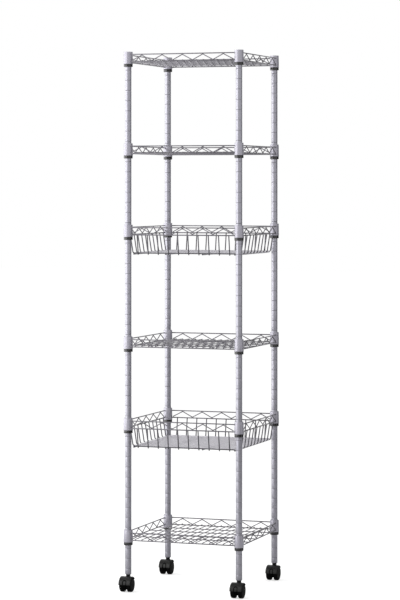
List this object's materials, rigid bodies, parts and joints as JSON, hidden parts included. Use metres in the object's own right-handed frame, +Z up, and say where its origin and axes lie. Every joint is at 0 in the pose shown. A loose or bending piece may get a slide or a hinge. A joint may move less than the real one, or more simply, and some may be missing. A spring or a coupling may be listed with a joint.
{
  "type": "wire shelving tower",
  "caption": "Slim open tower of stacked wire shelves and wire baskets on round grooved posts, rolling on twin-wheel casters.",
  "frame": {"origin": "on the floor, in the middle of the four posts", "axes": "+Z up, +X to the right along the front, +Y to the back; the front is the side the picture shows widest"},
  "size_m": [0.3814, 0.393, 1.5912],
  "materials": {
    "post_steel": "satin silver grey",
    "collar_steel": "satin silver grey",
    "wire_steel": "satin silver grey",
    "plated_steel": "zinc plated",
    "black_steel": "black oxide",
    "sleeve_plastic": "matte black",
    "caster_plastic": "satin black",
    "wheel_plastic": "matte black"
  },
  "bodies": {
    "frame": {"post_front_left_lower": "post_steel", "post_front_left_middle": "post_steel", "post_front_left_upper": "post_steel", "post_front_right_lower": "post_steel", "post_front_right_middle": "post_steel", "post_front_right_upper": "post_steel", "post_back_left_lower": "post_steel", "post_back_left_middle": "post_steel", "post_back_left_upper": "post_steel", "post_back_right_lower": "post_steel", "post_back_right_middle": "post_steel", "post_back_right_upper": "post_steel", "threaded_inserts": "plated_steel", "joining_studs": "plated_steel", "post_caps": "post_steel", "caster_stems": "black_steel", "shelf_1_sleeves": "sleeve_plastic", "shelf_2_sleeves": "sleeve_plastic", "basket_3_sleeves": "sleeve_plastic", "shelf_4_sleeves": "sleeve_plastic", "basket_5_sleeves": "sleeve_plastic", "shelf_6_sleeves": "sleeve_plastic"},
    "shelf_1": {"shelf_1_collars": "collar_steel", "shelf_1_trusses": "wire_steel", "shelf_1_deck": "wire_steel"},
    "shelf_2": {"shelf_2_collars": "collar_steel", "shelf_2_trusses": "wire_steel", "shelf_2_deck": "wire_steel"},
    "basket_3": {"basket_3_collars": "collar_steel", "basket_3_walls": "wire_steel", "basket_3_floor": "wire_steel"},
    "shelf_4": {"shelf_4_collars": "collar_steel", "shelf_4_trusses": "wire_steel", "shelf_4_deck": "wire_steel"},
    "basket_5": {"basket_5_collars": "collar_steel", "basket_5_walls": "wire_steel", "basket_5_floor": "wire_steel"},
    "shelf_6": {"shelf_6_collars": "collar_steel", "shelf_6_trusses": "wire_steel", "shelf_6_deck": "wire_steel"},
    "caster_front_left": {"hood_front_left": "caster_plastic", "axle_front_left": "plated_steel"},
    "wheel_front_left_l": {"wheel_front_left_l": "wheel_plastic"},
    "wheel_front_left_r": {"wheel_front_left_r": "wheel_plastic"},
    "caster_front_right": {"hood_front_right": "caster_plastic", "axle_front_right": "plated_steel"},
    "wheel_front_right_l": {"wheel_front_right_l": "wheel_plastic"},
    "wheel_front_right_r": {"wheel_front_right_r": "wheel_plastic"},
    "caster_back_left": {"hood_back_left": "caster_plastic", "axle_back_left": "plated_steel"},
    "wheel_back_left_l": {"wheel_back_left_l": "wheel_plastic"},
    "wheel_back_left_r": {"wheel_back_left_r": "wheel_plastic"},
    "caster_back_right": {"hood_back_right": "caster_plastic", "axle_back_right": "plated_steel"},
    "wheel_back_right_l": {"wheel_back_right_l": "wheel_plastic"},
    "wheel_back_right_r": {"wheel_back_right_r": "wheel_plastic"}
  },
  "joints": [
    {"name": "shelf_1_lift", "type": "slide", "parent": "frame", "child": "shelf_1", "axis": [0, 0, 1], "range_m": [0, 0.045]},
    {"name": "shelf_2_lift", "type": "slide", "parent": "frame", "child": "shelf_2", "axis": [0, 0, 1], "range_m": [0, 0.045]},
    {"name": "basket_3_lift", "type": "slide", "parent": "frame", "child": "basket_3", "axis": [0, 0, 1], "range_m": [0, 0.045]},
    {"name": "shelf_4_lift", "type": "slide", "parent": "frame", "child": "shelf_4", "axis": [0, 0, 1], "range_m": [0, 0.045]},
    {"name": "basket_5_lift", "type": "slide", "parent": "frame", "child": "basket_5", "axis": [0, 0, 1], "range_m": [0, 0.045]},
    {"name": "shelf_6_lift", "type": "slide", "parent": "frame", "child": "shelf_6", "axis": [0, 0, 1], "range_m": [0, 0.045]},
    {"name": "caster_front_left_swivel", "type": "hinge", "parent": "frame", "child": "caster_front_left", "pos_m": [-0.172, -0.172, 0.0455], "axis": [0, 0, 1], "continuous": true},
    {"name": "wheel_front_left_l_spin", "type": "hinge", "parent": "caster_front_left", "child": "wheel_front_left_l", "pos_m": [-0.172, -0.183, 0.0215], "axis": [1, 0, 0], "continuous": true},
    {"name": "wheel_front_left_r_spin", "type": "hinge", "parent": "caster_front_left", "child": "wheel_front_left_r", "pos_m": [-0.172, -0.183, 0.0215], "axis": [1, 0, 0], "continuous": true},
    {"name": "caster_front_right_swivel", "type": "hinge", "parent": "frame", "child": "caster_front_right", "pos_m": [0.172, -0.172, 0.0455], "axis": [0, 0, 1], "continuous": true},
    {"name": "wheel_front_right_l_spin", "type": "hinge", "parent": "caster_front_right", "child": "wheel_front_right_l", "pos_m": [0.172, -0.183, 0.0215], "axis": [1, 0, 0], "continuous": true},
    {"name": "wheel_front_right_r_spin", "type": "hinge", "parent": "caster_front_right", "child": "wheel_front_right_r", "pos_m": [0.172, -0.183, 0.0215], "axis": [1, 0, 0], "continuous": true},
    {"name": "caster_back_left_swivel", "type": "hinge", "parent": "frame", "child": "caster_back_left", "pos_m": [-0.172, 0.172, 0.0455], "axis": [0, 0, 1], "continuous": true},
    {"name": "wheel_back_left_l_spin", "type": "hinge", "parent": "caster_back_left", "child": "wheel_back_left_l", "pos_m": [-0.172, 0.161, 0.0215], "axis": [1, 0, 0], "continuous": true},
    {"name": "wheel_back_left_r_spin", "type": "hinge", "parent": "caster_back_left", "child": "wheel_back_left_r", "pos_m": [-0.172, 0.161, 0.0215], "axis": [1, 0, 0], "continuous": true},
    {"name": "caster_back_right_swivel", "type": "hinge", "parent": "frame", "child": "caster_back_right", "pos_m": [0.172, 0.172, 0.0455], "axis": [0, 0, 1], "continuous": true},
    {"name": "wheel_back_right_l_spin", "type": "hinge", "parent": "caster_back_right", "child": "wheel_back_right_l", "pos_m": [0.172, 0.161, 0.0215], "axis": [1, 0, 0], "continuous": true},
    {"name": "wheel_back_right_r_spin", "type": "hinge", "parent": "caster_back_right", "child": "wheel_back_right_r", "pos_m": [0.172, 0.161, 0.0215], "axis": [1, 0, 0], "continuous": true}
  ]
}
